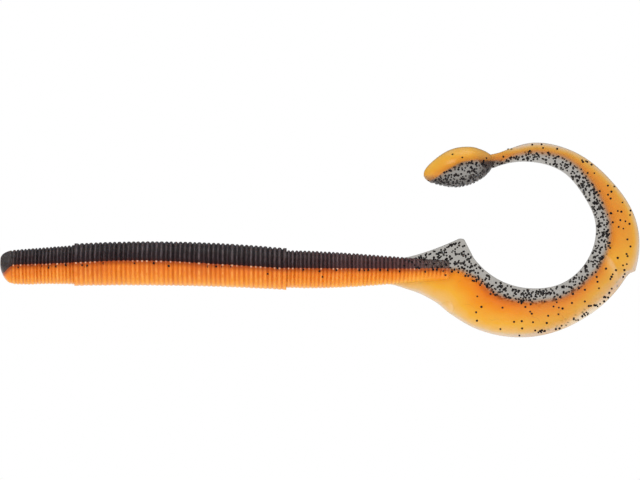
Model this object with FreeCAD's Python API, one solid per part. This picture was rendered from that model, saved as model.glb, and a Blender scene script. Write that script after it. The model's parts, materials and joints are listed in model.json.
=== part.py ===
"""Soft plastic worm: a ribbed two-colour body, a curled ribbon tail and a bulb at its tip.

Frame: the origin is where the body's axis meets the blunt front of the nose. +X runs towards the tail, +Z
towards the back of the worm and +Y towards its left flank. The worm is upright, as it swims: the smoke-coloured
back layer is above the orange belly layer. The tail curls over in the XZ plane, belly layer outermost.

The worm is one soft moulding of two layers. It bends everywhere, so it is divided into short lengths, each with
its back and belly layer. Neighbouring lengths meet in a rounded knuckle with room to turn. All sizes are in
millimetres and all angles in degrees.
"""

import FreeCAD
import Part
import math
import os

V = FreeCAD.Vector
X_AXIS, Y_AXIS = V(1, 0, 0), V(0, 1, 0)

# Body: where its sections end, measured from the nose
SHOULDER_X = 3.0  # the smooth nose ends and the ribs start
COLLAR_X = 18.5  # front edge of the raised collar
REAR_X = 71.5  # rear edge of the collar
ROOT_X = 97.5  # the body is narrowest here, and the tail starts
TONGUE_X = 112.0  # the ribs end, well inside the tail

# Body: height of its axis above the nose, a slight natural wave
AXIS_HEIGHTS = ((0.0, 0.0), (18.5, 0.6), (31.75, 1.05), (45.0, 0.95), (58.25, 0.35), (71.5, -0.5),
                (84.5, -0.75), (97.5, -0.8), (112.0, -0.8))

# Body: radius over the ribs
NOSE_RADIUS, NOSE_TAPER = 4.0, 0.047
COLLAR_RADIUS, COLLAR_MIDDLE, COLLAR_HALF, COLLAR_DROP = 5.55, 42.0, 28.0, 0.35
REAR_RADII = ((71.5, 4.7), (80.0, 4.6), (88.0, 4.2), (97.5, 3.5), (112.0, 2.5))

# The blunt nose: (x, height of the ring's centre, radius) from its flat towards the shoulder
NOSE_RINGS = ((0.0, 0.9, 1.7), (0.4, 0.65, 2.75), (1.3, 0.25, 3.65))
# The back layer covers the front of the nose: the line between the layers, from front to rear
NOSE_LINE = ((-1.0, -2.2), (1.0, -1.9), (3.2, 0.1))

# Ribs: how many in each section, how deep the grooves are, and how much of the pitch a groove takes
RIBS = ((SHOULDER_X, COLLAR_X, 17), (COLLAR_X, REAR_X, 45), (REAR_X, TONGUE_X, 40))
RIB_DEPTH, GROOVE_SHARE = 0.28, 0.5

# Curled tail, in polar form about the centre of the curl: (angle, radius), the angle growing towards the tip
CURL_X, CURL_Z = 132.75, 10.5
INNER_RADII = ((195, 17.2), (210, 16.6), (240, 15.9), (270, 15.8), (300, 16.4), (330, 16.4), (360, 16.0),
               (390, 14.9), (420, 15.4), (450, 15.8), (480, 17.0), (500, 18.4))
LAYER_RADII = ((214, 21.2), (225, 19.9), (240, 20.0), (270, 19.6), (300, 19.6), (330, 19.6), (360, 19.2),
               (390, 18.1), (420, 18.4), (450, 18.3), (472, 18.2), (481, 18.9), (500, 20.5))
LOBE_RADII = ((211, 33.0), (225, 30.3), (240, 29.5), (270, 27.9), (300, 26.7), (333, 26.9), (340, 27.0))
PADDLE_RADII = ((330, 28.6), (336, 28.3), (345, 27.7), (360, 26.4), (390, 22.7), (420, 21.2), (450, 20.6),
                (464, 19.95), (470, 19.7), (476, 20.0), (483, 20.8), (500, 23.0))
NOTCH = (333.0, 336.0)  # the outer edge steps out here, from the lobe to the paddle
EDGE_SPAN, EDGE_SPANS = 4.0, 4  # an edge is a curve with spans of about this angle, and at least this many
# Half the thickness of the ribbon, by distance from the centre of the curl: it thins towards its rim
THICKNESSES = ((10.0, 0.8), (15.5, 0.85), (20.0, 1.0), (27.0, 0.6), (34.0, 0.4), (50.0, 0.4))

# Root of the tail, where a triangular fin stands above the body and a flare hangs below it, as (x, z)
FIN_FOOT, FIN_TIP, FIN_TIP_RADIUS = (99.0, 1.9), (115.6, 7.5), 1.0
FIN_HOLLOW = 0.4  # how far the front edge of the fin sags below a straight line
FIN_REAR, FIN_FADE = (118.2, 2.4), 217.0  # the rear edge of the fin bends from this point to this angle
LAYER_ROOT = ((112.5, -0.8), (115.2, -1.5), (117.3, -2.9))
FLARE = ((99.0, -4.5), (101.6, -5.5), (104.5, -6.5), (107.5, -8.0), (109.8, -9.5))

# Bulb at the tip: its axis runs from the neck, and its radius is given along it
NECK_ANGLE, NECK_RADIUS = 483.0, 19.2
BULB_DIRECTION = 193.0  # direction of the bulb's axis, from +X towards +Z
BULB_PROFILE = ((0.0, 1.7), (2.0, 3.5), (4.5, 4.5), (8.0, 4.85), (11.0, 4.3), (14.0, 3.0),
                (15.2, 2.3), (16.2, 1.5), (16.8, 0.8), (17.0, 0.0))
BULB_RIBS, BULB_RIB_DEPTH = ((1.0, 14.0, 14),), 0.15

# Knuckles between lengths: rear side's clearance, and angle kept free beyond the limits
KNUCKLE_CLEARANCE, SPARE_ANGLE = 0.12, 1.0
KNUCKLE_SHARE = 0.5  # radius of a body knuckle, as a share of the body's radius
CURL_KNUCKLE, WAVE_KNUCKLE, NECK_KNUCKLE = 2.2, 0.5, 0.8
REACH = 45.0  # half the size of a cutting tool, larger than any length

# How far one knuckle turns each way. The arch lifts the rear, the curl only opens, the others swing to +Y
ARCH, SIDE, SWEEP, WAVE, CURL, BULB = (-12, 12), (-15, 15), (-18, 18), (-9, 9), (0, 15), (-18, 18)


def interpolate(table, x):
    """Straight lines between the points of a table."""
    for (x0, y0), (x1, y1) in zip(table, table[1:]):
        if x <= x1:
            return y0 + (y1 - y0) * (x - x0) / (x1 - x0)
    return table[-1][1]


def smooth(table, x):
    """A smooth curve through the points of a table (cubic, with slopes from the neighbouring points)."""
    k = max(i for i in range(len(table) - 1) if i == 0 or table[i][0] <= x)
    (x0, y0), (x1, y1) = table[k], table[k + 1]
    before, after = table[max(k - 1, 0)], table[min(k + 2, len(table) - 1)]
    slope0 = (y1 - before[1]) / (x1 - before[0])
    slope1 = (after[1] - y0) / (after[0] - x0)
    s, span = (x - x0) / (x1 - x0), x1 - x0
    return (y0 * (1 + 2 * s) * (1 - s) ** 2 + y1 * s * s * (3 - 2 * s)
            + span * (slope0 * s * (1 - s) ** 2 - slope1 * s * s * (1 - s)))


def axis_point(x):
    """The point of the body's axis at this distance from the nose."""
    return V(x, 0, interpolate(AXIS_HEIGHTS, x))


def polar(angle, radius):
    """A point of the tail, in the plane of the curl."""
    turn = math.radians(angle)
    return V(CURL_X + radius * math.cos(turn), 0, CURL_Z + radius * math.sin(turn))


def body_radius(x):
    """Radius of the body over its ribs."""
    if x < COLLAR_X:
        return NOSE_RADIUS + NOSE_TAPER * x
    if x < REAR_X:
        return COLLAR_RADIUS - COLLAR_DROP * ((x - COLLAR_MIDDLE) / COLLAR_HALF) ** 2
    return interpolate(REAR_RADII, x)


def outer_radius(angle):
    """Radius of the tail's outer edge, either side of the notch."""
    return smooth(LOBE_RADII if angle < sum(NOTCH) / 2 else PADDLE_RADII, angle)


# ---------------------------------------------------------------- hinges

class Hinge:
    """A place where the worm bends: pivot, direction towards the tail, axis, knuckle radius and limits."""

    def __init__(self, name, child, pivot, along, axis, knuckle, limits):
        self.name, self.child = name, child
        self.pivot, self.along, self.axis = pivot, along, axis
        self.knuckle, self.limits = knuckle, limits

    def prism(self, outline):
        """A block over an outline given as (distance towards the tail, distance towards which it swings)."""
        swing = self.axis.cross(self.along)
        foot = self.pivot - self.axis * REACH
        corners = [foot + self.along * a + swing * b for a, b in outline]
        return Part.Face(Part.makePolygon(corners + corners[:1])).extrude(self.axis * (2 * REACH))

    def barrel(self, radius):
        return Part.makeCylinder(radius, 2 * REACH, self.pivot - self.axis * REACH, self.axis)

    def keep_front(self):
        """What the length in front of the hinge may fill: it ends in a convex knuckle."""
        block = self.prism(((-REACH, -REACH), (0, -REACH), (0, REACH), (-REACH, REACH)))
        return block.fuse(self.barrel(self.knuckle))

    def clear_rear(self):
        """What the length behind the hinge leaves free: the knuckle, and a wedge on each side."""
        high = math.radians(self.limits[1] + SPARE_ANGLE)
        low = math.radians(-self.limits[0] + SPARE_ANGLE)
        top = (REACH * math.sin(high), REACH * math.cos(high))
        bottom = (REACH * math.sin(low), -REACH * math.cos(low))
        wedge = self.prism(((0, 0), top, (-REACH, REACH), (-REACH, -REACH), bottom))
        return wedge.fuse(self.barrel(self.knuckle + KNUCKLE_CLEARANCE))


def body_hinge(name, child, x, axis, limits):
    """A hinge on the body's axis."""
    along = (axis_point(x + 1) - axis_point(x - 1)).normalize()
    return Hinge(name, child, axis_point(x), along, axis, KNUCKLE_SHARE * body_radius(x), limits)


def tail_hinge(name, child, angle, wave):
    """A hinge half way across the ribbon: a wave bends it sideways, and a curl opens or closes the curl."""
    pivot = polar(angle, (smooth(INNER_RADII, angle) + outer_radius(angle)) / 2)
    along = V(-math.sin(math.radians(angle)), 0, math.cos(math.radians(angle)))
    if wave:
        return Hinge(name, child, pivot, along, along.cross(Y_AXIS), WAVE_KNUCKLE, WAVE)
    return Hinge(name, child, pivot, along, Y_AXIS, CURL_KNUCKLE, CURL)


def neck_hinge():
    """The thin neck, where the bulb swings."""
    turn = math.radians(BULB_DIRECTION)
    along = V(math.cos(turn), 0, math.sin(turn))
    return Hinge("bulb_swing", "bulb", polar(NECK_ANGLE, NECK_RADIUS), along, along.cross(Y_AXIS),
                 NECK_KNUCKLE, BULB)


BODY_HINGES = 7
COLLAR_STEP = (REAR_X - COLLAR_X) / 4
REAR_MIDDLE_X = (REAR_X + ROOT_X) / 2
CURL_START, CURL_STEP, CURL_LENGTHS = 226.0, 24.0, 11
KNUCKLE_ROOM = 9.0  # a length of ribbon is drawn this many degrees past its end, so that its knuckle fits


def worm_hinges():
    """All the places where the worm bends, from nose to tail."""
    back = Y_AXIS * -1
    up = X_AXIS.cross(Y_AXIS)
    found = [body_hinge("arch_front", "collar_1", COLLAR_X, back, ARCH),
             body_hinge("side_front", "collar_2", COLLAR_X + COLLAR_STEP, up, SIDE),
             body_hinge("arch_middle", "collar_3", COLLAR_X + 2 * COLLAR_STEP, back, ARCH),
             body_hinge("side_middle", "collar_4", COLLAR_X + 3 * COLLAR_STEP, up, SIDE),
             body_hinge("arch_rear", "rear_1", REAR_X, back, ARCH),
             body_hinge("side_rear", "rear_2", REAR_MIDDLE_X, up, SIDE),
             body_hinge("tail_sweep", "tail_root", ROOT_X, up, SWEEP)]
    for k in range(CURL_LENGTHS):
        wave = k % 2 == 1
        name = f"{'wave' if wave else 'curl'}_{k // 2 + 1}"
        found.append(tail_hinge(name, f"tail_{k + 1}", CURL_START + k * CURL_STEP, wave))
    return found + [neck_hinge()]


# ---------------------------------------------------------------- body

def ribbed_profile(start, end, radius_at, ribs, depth):
    """Outline of a ribbed length, as (distance along it, radius)."""
    points = [(start, radius_at(start + 1e-6))]
    for first, last, count in ribs:
        pitch = (last - first) / count
        half = GROOVE_SHARE * pitch / 2
        for k in range(count):
            groove = first + k * pitch
            if start + half < groove < end - half:
                ahead, behind = radius_at(groove - half), radius_at(groove + half)
                points.append((groove - half, ahead))
                points.append((groove, min(ahead, behind) - depth))
                points.append((groove + half, behind))
    return points + [(end, radius_at(end))]


def turned(profile, origin, direction):
    """A solid of revolution: profile is (distance, radius), from origin along direction."""
    outline = [V(profile[0][0], 0, 0)] + [V(a, r, 0) for a, r in profile] + [V(profile[-1][0], 0, 0)]
    face = Part.Face(Part.makePolygon(outline + outline[:1]))
    solid = face.revolve(V(0, 0, 0), X_AXIS, 360)
    solid.Placement = FreeCAD.Placement(origin, FreeCAD.Rotation(X_AXIS, direction))
    return solid


def body_length(start, end, overlap):
    """A ribbed length of the body between two stations, running on a little past the second."""
    front, rear = axis_point(start), axis_point(end)
    direction = (rear - front).normalize()
    outline = ribbed_profile(start, end + overlap, body_radius, RIBS, RIB_DEPTH)
    profile = [(x - start, r) for x, r in outline]
    return turned(profile, front, direction), front, direction


def halves(solid, origin, direction):
    """The layers of a round length, parted by the plane through its axis: (upper half, lower half)."""
    size = 2 * REACH
    upper = Part.makeBox(size, size, REACH, V(-REACH, -REACH, 0))
    upper.Placement = FreeCAD.Placement(origin, FreeCAD.Rotation(X_AXIS, direction))
    return solid.common(upper), solid.cut(upper)


def nose_layers(overlap):
    """The nose: a blunt front, then ribs. The back layer wraps round its front."""
    ribbed, _, direction = body_length(SHOULDER_X, COLLAR_X, overlap)
    rings = [Part.makeCircle(radius, V(x, 0, height), X_AXIS) for x, height, radius in NOSE_RINGS]
    rings.append(Part.makeCircle(body_radius(SHOULDER_X), axis_point(SHOULDER_X), direction))
    rings = [Part.Wire(ring) for ring in rings]
    solid = Part.makeLoft(rings, True, False).fuse(ribbed).removeSplitter()
    line = [V(x, -REACH, z) for x, z in NOSE_LINE]
    line.append(V(REACH, -REACH, interpolate(AXIS_HEIGHTS, COLLAR_X)
                  + (REACH - COLLAR_X) * direction.z / direction.x))
    above = line + [V(REACH, -REACH, REACH), V(-1, -REACH, REACH), V(-1, -REACH, line[0].z)]
    upper = Part.Face(Part.makePolygon(above)).extrude(Y_AXIS * (2 * REACH))
    return solid.common(upper), solid.cut(upper)


# ---------------------------------------------------------------- tail

def spline(points):
    curve = Part.BSplineCurve()
    curve.interpolate(points)
    return curve.toShape()


def edge_along(radius_at, start, end):
    """An edge of the ribbon between two angles, as one smooth curve."""
    count = max(EDGE_SPANS, round((end - start) / EDGE_SPAN))
    angles = [start + (end - start) * k / count for k in range(count + 1)]
    return spline([polar(a, radius_at(a)) for a in angles])


def outer_edges(start, end):
    """The outer edge of the ribbon, with the notch where the range crosses it."""
    if start < NOTCH[0] and end > NOTCH[1]:
        step = Part.makeLine(polar(NOTCH[0], outer_radius(NOTCH[0])), polar(NOTCH[1], outer_radius(NOTCH[1])))
        return [edge_along(outer_radius, start, NOTCH[0]), step, edge_along(outer_radius, NOTCH[1], end)]
    return [edge_along(outer_radius, start, end)]


def inner_radius(angle):
    return smooth(INNER_RADII, angle)


def layer_radius(angle):
    return smooth(LAYER_RADII, angle)


def bulb_radius(distance):
    return smooth(BULB_PROFILE, distance)


def ribbon_lens():
    """The space the ribbon may fill: a disc about the centre of the curl, thinner towards its edge."""
    side = [V(r, half, 0) for r, half in THICKNESSES]
    other = [V(p.x, -p.y, 0) for p in reversed(side)]
    section = Part.Face(Part.makePolygon(side + other + side[:1]))
    lens = section.revolve(V(0, 0, 0), Y_AXIS, 360)
    lens.translate(V(CURL_X, 0, CURL_Z))
    return lens


def blade(edges):
    """A length of ribbon over a closed outline in the plane of the curl."""
    outline = Part.Wire(Part.sortEdges(edges)[0])
    slab = Part.Face(outline).extrude(Y_AXIS * (2 * REACH))
    slab.translate(Y_AXIS * -REACH)
    return slab.common(ribbon_lens())


def curl_layers(start, end):
    """The two layers of the curled ribbon between two angles: (inner band, outer band)."""
    shared = edge_along(layer_radius, start, end)
    inner_ends, outer_ends = [], []
    for a in (start, end):
        middle = polar(a, layer_radius(a))
        inner_ends.append(Part.makeLine(polar(a, inner_radius(a)), middle))
        outer_ends.append(Part.makeLine(middle, polar(a, outer_radius(a))))
    inner = blade([edge_along(inner_radius, start, end), shared] + inner_ends)
    outer = blade([shared] + outer_edges(start, end) + outer_ends)
    return inner, outer


def fin_edges(foot, rear):
    """The edge of the fin from its foot, over its rounded tip, to its rear."""
    tip = V(FIN_TIP[0], 0, FIN_TIP[1])
    down_front, down_rear = (foot - tip).normalize(), (rear - tip).normalize()
    half = down_front.getAngle(down_rear) / 2
    run = FIN_TIP_RADIUS / math.tan(half)
    middle = tip + (down_front + down_rear).normalize() * (FIN_TIP_RADIUS / math.sin(half) - FIN_TIP_RADIUS)
    first, last = tip + down_front * run, tip + down_rear * run
    sag = (foot + first) * 0.5 - V(0, 0, FIN_HOLLOW)
    front, round_tip = Part.Arc(foot, sag, first), Part.Arc(first, middle, last)
    return [front.toShape(), round_tip.toShape(), Part.makeLine(last, rear)]


def root_layers(end):
    """The root of the tail: the ribbed tongue, with the fin above it and the flare below."""
    tongue, origin, direction = body_length(ROOT_X, TONGUE_X, 0)
    back, belly = halves(tongue, origin, direction)

    angles = (CURL_START, (CURL_START + end) / 2, end)
    layer_start = V(FIN_FOOT[0], 0, AXIS_HEIGHTS[-1][1])
    layer_bend = [V(x, 0, z) for x, z in LAYER_ROOT]
    layer_curve = spline(layer_bend + [polar(a, layer_radius(a)) for a in angles])
    shared = [Part.makeLine(layer_start, layer_bend[0]), layer_curve]
    inner_end, layer_end = polar(end, inner_radius(end)), polar(end, layer_radius(end))

    foot, rear = V(FIN_FOOT[0], 0, FIN_FOOT[1]), V(FIN_REAR[0], 0, FIN_REAR[1])
    inner = spline([rear] + [polar(a, inner_radius(a)) for a in (FIN_FADE,) + angles])
    fin_ends = [Part.makeLine(inner_end, layer_end), Part.makeLine(layer_start, foot)]
    fin = blade(fin_edges(foot, rear) + [inner] + fin_ends + shared)

    flare_points = [V(x, 0, z) for x, z in FLARE]
    lower = spline(flare_points + [polar(a, outer_radius(a)) for a in angles])
    outer_end = polar(end, outer_radius(end))
    flare_ends = [Part.makeLine(layer_end, outer_end), Part.makeLine(layer_start, flare_points[0])]
    flare = blade([lower] + flare_ends + shared)
    return back.fuse(fin), belly.fuse(flare)


def bulb_layers():
    """The bulb: egg-shaped, the back layer underneath because the tail has curled over."""
    hinge = neck_hinge()
    ribs_end = BULB_RIBS[0][1]
    profile = ribbed_profile(0.0, ribs_end, bulb_radius, BULB_RIBS, BULB_RIB_DEPTH)
    tip = [(a, r) for a, r in BULB_PROFILE if a > ribs_end]
    solid = turned(profile + tip, hinge.pivot, hinge.along)
    return halves(solid, hinge.pivot, hinge.along)


# ---------------------------------------------------------------- assembly

def raw_layers(hinges):
    """Every length before its ends are shaped, as (name, back layer, belly layer)."""
    lengths = [("nose",) + nose_layers(hinges[0].knuckle)]
    for front, rear in zip(hinges, hinges[1:BODY_HINGES]):
        solid, origin, direction = body_length(front.pivot.x, rear.pivot.x, rear.knuckle)
        lengths.append((front.child,) + halves(solid, origin, direction))
    lengths.append(("tail_root",) + root_layers(CURL_START + KNUCKLE_ROOM))
    for k in range(CURL_LENGTHS):
        start = CURL_START + k * CURL_STEP
        end = start + CURL_STEP if k < CURL_LENGTHS - 1 else NECK_ANGLE
        lengths.append((f"tail_{k + 1}",) + curl_layers(start - 1, end + KNUCKLE_ROOM))
    return lengths + [("bulb",) + bulb_layers()]


def shaped(layer, front_hinge, rear_hinge):
    """A layer with both its ends cut for the knuckles."""
    if front_hinge:
        layer = layer.cut(front_hinge.clear_rear())
    if rear_hinge:
        layer = layer.common(rear_hinge.keep_front())
    return layer


def main():
    os.makedirs("parts", exist_ok=True)
    hinges = worm_hinges()
    ends = [None] + hinges + [None]
    for k, (name, back, belly) in enumerate(raw_layers(hinges)):
        for side, layer in (("back", back), ("belly", belly)):
            solid = shaped(layer, ends[k], ends[k + 1]).Solids[0]
            print(name, side, "valid:", solid.isValid(), "volume:", round(solid.Volume, 1))
            solid.exportStep(f"parts/{name}_{side}.step")


if __name__ == "__main__":
    main()
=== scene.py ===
"""Looks of the soft plastic worm: wet, ribbed, two-colour plastic with black flakes.

The worm lies in the XZ plane, back up, with its nose at the origin and its tail towards +X. Its outlines are
measured on the CAD layers with rays. The skin is built as one surface and divided half way between hinges,
one piece to each hinge, so that each piece meets its neighbours exactly.
"""

import bpy
import json
import math
import numpy as np
from collections import namedtuple
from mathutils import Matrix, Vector
from mathutils import noise as lumps
from mathutils.bvhtree import BVHTree

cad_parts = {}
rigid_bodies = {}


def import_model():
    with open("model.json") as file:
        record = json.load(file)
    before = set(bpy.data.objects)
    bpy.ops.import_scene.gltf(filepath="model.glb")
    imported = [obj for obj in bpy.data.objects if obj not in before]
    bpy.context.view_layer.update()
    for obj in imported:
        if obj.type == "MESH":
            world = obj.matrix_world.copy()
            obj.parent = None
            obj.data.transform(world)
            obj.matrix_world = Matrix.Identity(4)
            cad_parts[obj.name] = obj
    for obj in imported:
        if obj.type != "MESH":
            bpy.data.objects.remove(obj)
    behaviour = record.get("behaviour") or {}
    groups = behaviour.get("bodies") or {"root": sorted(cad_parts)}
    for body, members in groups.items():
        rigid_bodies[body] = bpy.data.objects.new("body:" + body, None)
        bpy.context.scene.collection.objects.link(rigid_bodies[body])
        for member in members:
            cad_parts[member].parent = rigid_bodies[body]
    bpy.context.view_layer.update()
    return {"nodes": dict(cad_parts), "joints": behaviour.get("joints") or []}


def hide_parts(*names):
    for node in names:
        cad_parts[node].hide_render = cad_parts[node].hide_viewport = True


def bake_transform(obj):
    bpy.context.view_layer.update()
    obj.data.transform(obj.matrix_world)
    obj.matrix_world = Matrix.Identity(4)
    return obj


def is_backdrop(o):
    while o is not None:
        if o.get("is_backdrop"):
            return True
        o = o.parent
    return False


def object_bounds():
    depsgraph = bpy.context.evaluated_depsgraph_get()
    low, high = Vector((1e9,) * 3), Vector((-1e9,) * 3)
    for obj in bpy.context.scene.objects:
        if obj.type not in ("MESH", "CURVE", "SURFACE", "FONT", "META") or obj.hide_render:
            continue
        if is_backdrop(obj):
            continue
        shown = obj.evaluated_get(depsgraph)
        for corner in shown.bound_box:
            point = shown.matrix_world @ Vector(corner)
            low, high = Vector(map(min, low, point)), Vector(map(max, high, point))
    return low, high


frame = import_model()

MM = 0.001
SIDE = np.array([0.0, 1.0, 0.0])  # across the worm, which is symmetrical to both sides of its plane
rng = np.random.default_rng(20)  # a fixed seed, so that each run gives the same worm

# ---- The frame: hinges and outlines

JOINTS = {j["name"]: j for j in frame["joints"]}


def pivot(name):
    return np.array(JOINTS[name]["pos_m"], float)


def chain(root):
    """The hinges in order, from the root body to the tip."""
    follows = {j["parent"]: j for j in frame["joints"]}
    found = []
    while root in follows:
        found.append(follows[root])
        root = follows[root]["child"]
    return found


CHAIN = chain("nose")
BODY_CHAIN = [j for j in CHAIN if j["name"].split("_")[0] in ("arch", "side", "tail")]
TAIL_CHAIN = [j for j in CHAIN if j["name"].split("_")[0] in ("curl", "wave")]
ROOT_JOINT, BULB_JOINT = JOINTS["tail_sweep"], JOINTS["bulb_swing"]
RIBBON_CHAIN = [ROOT_JOINT] + TAIL_CHAIN + [BULB_JOINT]
BEND_HALF = {}  # half the span about a hinge, short of the end rows of its piece, by the hinge's name


def layer_tree(ending):
    """The skin of the CAD nodes whose names end so, for measuring with rays."""
    points, faces = [], []
    for name, node in frame["nodes"].items():
        if name.endswith(ending):
            first = len(points)
            points += [node.matrix_world @ v.co for v in node.data.vertices]
            faces += [[first + i for i in p.vertices] for p in node.data.polygons]
    return BVHTree.FromPolygons(points, faces)


BACK, BELLY = layer_tree("_back"), layer_tree("_belly")
ROOT_BACK, ROOT_BELLY = layer_tree("tail_root_back"), layer_tree("tail_root_belly")
OFF_PLANE = 0.03 * MM  # rays run this far beside the plane of symmetry, clear of edges that lie in it
CLEAR, BESIDE = 0.03, 0.02  # rays start this far (m) from the body's axis, and from the plane of the tail


def hits(tree, start, direction, reach):
    """Distances from start at which a line meets a layer's skin."""
    direction = Vector(direction).normalized()
    found, gone, step = [], 0.0, 1e-6
    while gone < reach:
        gap = tree.ray_cast(Vector(start) + direction * gone, direction, reach - gone)[3]
        if gap is None:
            break
        found.append(gone + gap)
        gone = found[-1] + step
    return found


def first_hit(start, direction, reach=2 * CLEAR):
    """Distance from start at which a line first meets either layer, or None."""
    found = [hits(tree, start, direction, reach) for tree in (BACK, BELLY)]
    return min((gaps[0] for gaps in found if gaps), default=None)


def curl_centre():
    """Where the axes of the wave hinges meet."""
    total, pull = np.zeros((3, 3)), np.zeros(3)
    for joint in TAIL_CHAIN:
        if joint["name"].startswith("wave"):
            axis = np.array(joint["axis"], float)
            flat = np.eye(3) - np.outer(axis, axis)
            total += flat
            pull += flat @ np.array(joint["pos_m"], float)
    total += np.diag([0, 1, 0])
    return np.linalg.solve(total, pull)


CENTRE = curl_centre()
FIRST_ANGLE = 150  # degrees, in the gap between the bulb and the root


def angles_of(points):
    """Angles of points about the centre of the curl, from 150 to 510 degrees."""
    away = np.asarray(points, float) - CENTRE
    turn = np.degrees(np.arctan2(away[..., 2], away[..., 0])) % 360
    return np.where(turn >= FIRST_ANGLE, turn, turn + 360)


def angle_of(point):
    return float(angles_of(point))


def polar(angle, radius):
    turn = math.radians(angle)
    return np.array([CENTRE[0] + radius * math.cos(turn), 0, CENTRE[2] + radius * math.sin(turn)])


def eased_step(value, low, high):
    """0 below low, 1 above high, smooth between."""
    share = np.clip((value - low) / (high - low), 0, 1)
    return share * share * (3 - 2 * share)


def bump(value, middle, width):
    return np.exp(-((value - middle) / width) ** 2)


# ---- Body: measured sections

COLLAR_X, REAR_X, ROOT_X = (pivot(n)[0] for n in ("arch_front", "arch_rear", "tail_sweep"))
BEHIND = 0.2  # a ray towards the nose starts here, behind the tip of the tail,
TONGUE_SIDE = 1.6 * MM  # and this far from the ribbon's plane, where it only meets the tongue
TONGUE_START = (BEHIND, TONGUE_SIDE, pivot("tail_sweep")[2] - 0.2 * MM)
TONGUE_X = BEHIND - hits(BELLY, TONGUE_START, (-1, 0, 0), BEHIND)[0]
SHOULDER_X = 0.162 * COLLAR_X  # the nose is smooth in front of this
SECTIONS = ((SHOULDER_X, COLLAR_X, 17), (COLLAR_X, REAR_X, 45), (REAR_X, TONGUE_X, 40))  # from, to, ribs
RIB_STEPS = 8
RIB_DEPTH, RIB_SWELL = 0.30 * MM, 0.09 * MM  # grooves cut in; the ribs between them swell out a little
RIB_SHIFT = 0.05  # how far a groove is out of place, as a share of the ribs' pitch
GROOVE_WIDTH = 0.2
NOSE_FULLNESS = 0.25 * MM
NOSE_ROUND = 2.6 * MM  # over this length the nose is rounder than the CAD's,
SHAVE_TOP, SHAVE_BOTTOM = 0.28 * MM, 0.5 * MM  # by this much
Station = namedtuple("Station", "x top bottom side layer groove depth stripe crest", defaults=(0.0,) * 4)


def body_section(x):
    """Top, bottom, half width and height of the line between the layers, measured on the CAD body."""
    above, below = (x, OFF_PLANE, CLEAR), (x, OFF_PLANE, -CLEAR)
    top, bottom = CLEAR - first_hit(above, (0, 0, -1)), first_hit(below, (0, 0, 1)) - CLEAR
    side = CLEAR - first_hit((x, -CLEAR, (top + bottom) / 2), (0, 1, 0))
    layer = hits(BELLY, below, (0, 0, 1), 2 * CLEAR)
    return top, bottom, side, (layer[-1] - CLEAR if layer else bottom)


def clear_of_hinges(x):
    """Whether the CAD body is whole here, and not at the knuckle of a hinge."""
    return all(not -0.5 * MM < x - j["pos_m"][0] < 2.5 * MM for j in BODY_CHAIN)


def fitted_section(first, last, count, degree):
    """The measured sections at the crests of the ribs, as smooth functions of x."""
    pitch = (last - first) / count
    crests = [first + (k + 0.5) * pitch for k in range(count)]
    crests = [x for x in crests if clear_of_hinges(x) and x < ROOT_X + 2 * MM]
    rows = np.array([body_section(x) for x in crests])
    middle = (first + last) / 2
    fits = [np.polyfit(np.array(crests) - middle, rows[:, k], degree) for k in range(4)]
    return lambda x: [float(np.polyval(f, x - middle)) for f in fits]


def cap_stations():
    """The smooth nose in front of the first rib."""
    top, bottom, side, layer = body_section(0.02 * MM)
    middle, half = (top + bottom) / 2, (top - bottom) / 2
    sections = [(0.0, middle + half * share, middle - half * share, side * share, layer)
                for share in (0.02, 0.5, 0.9)]
    sections += [(x * MM, *body_section(x * MM))
                 for x in (0.02, 0.1, 0.25, 0.45, 0.7, 1.0, 1.4, 1.8, 2.2, 2.6)]
    stations = []
    for x, top, bottom, side, layer in sections:
        shave = 1 - eased_step(x, 0.0, NOSE_ROUND)
        stations.append(Station(x, top - SHAVE_TOP * shave, bottom + SHAVE_BOTTOM * shave, side, layer))
    return stations


def ribbed_stations(number, first, last, count):
    """Stations of one ribbed section, whose grooves differ a little in depth and in place."""
    section = fitted_section(first, last, count, 3 if number == 2 else 2)
    pitch = (last - first) / count
    deep, shift = rng.uniform(0.7, 1.25, count + 1), rng.normal(0, RIB_SHIFT, count + 1)
    # how strong the painted highlight is on each rib
    highlight_strength = rng.uniform(0.15, 1.0, count)
    shift[[0, -1]] = 0
    stations = []
    for k in range(count * RIB_STEPS + 1):
        phase = k / RIB_STEPS
        near = round(phase)
        away = phase - near
        x = first + (phase + shift[near] * (1 - 2 * abs(away))) * pitch
        groove = math.exp(-(away / GROOVE_WIDTH) ** 2)
        # painted shade in the grooves
        stripe = (0.5 + 0.5 * math.cos(2 * math.pi * phase)) ** 1.3 * deep[near]
        # painted highlight on the ribs, stronger on some ribs than on others
        crest = (0.5 - 0.5 * math.cos(2 * math.pi * phase)) ** 2.5 * highlight_strength[min(int(phase), count - 1)]
        if number == 1 and (phase < 0.5 or phase > count - 0.5):  # the collar ends in steps, not in grooves
            groove, stripe = 0.0, 0.4 * stripe
        top, bottom, side, layer = section(x)
        bottom -= NOSE_FULLNESS * bump(x, 6 * MM, 4 * MM)
        if x < 4 * MM:  # the seam bends down towards the nose
            layer = body_section(x)[3]
        stations.append(Station(x, top, bottom, side, layer, groove, RIB_DEPTH * deep[near], stripe, crest))
    return stations


def blunt_end(last):
    """The rounded end of the tongue behind its last groove."""
    middle, half = (last.top + last.bottom) / 2, (last.top - last.bottom) / 2
    return [Station(last.x + push * MM, middle + half * share, middle - half * share, last.side * share,
                    last.layer) for share, push in ((0.93, 0.12), (0.8, 0.2), (0.4, 0.22), (0.02, 0.22))]


def body_stations():
    stations = cap_stations()
    for number, (first, last, count) in enumerate(SECTIONS):
        stations += ribbed_stations(number, first, last, count)
    return stations + blunt_end(stations[-1])


# ---- Skins

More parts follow.
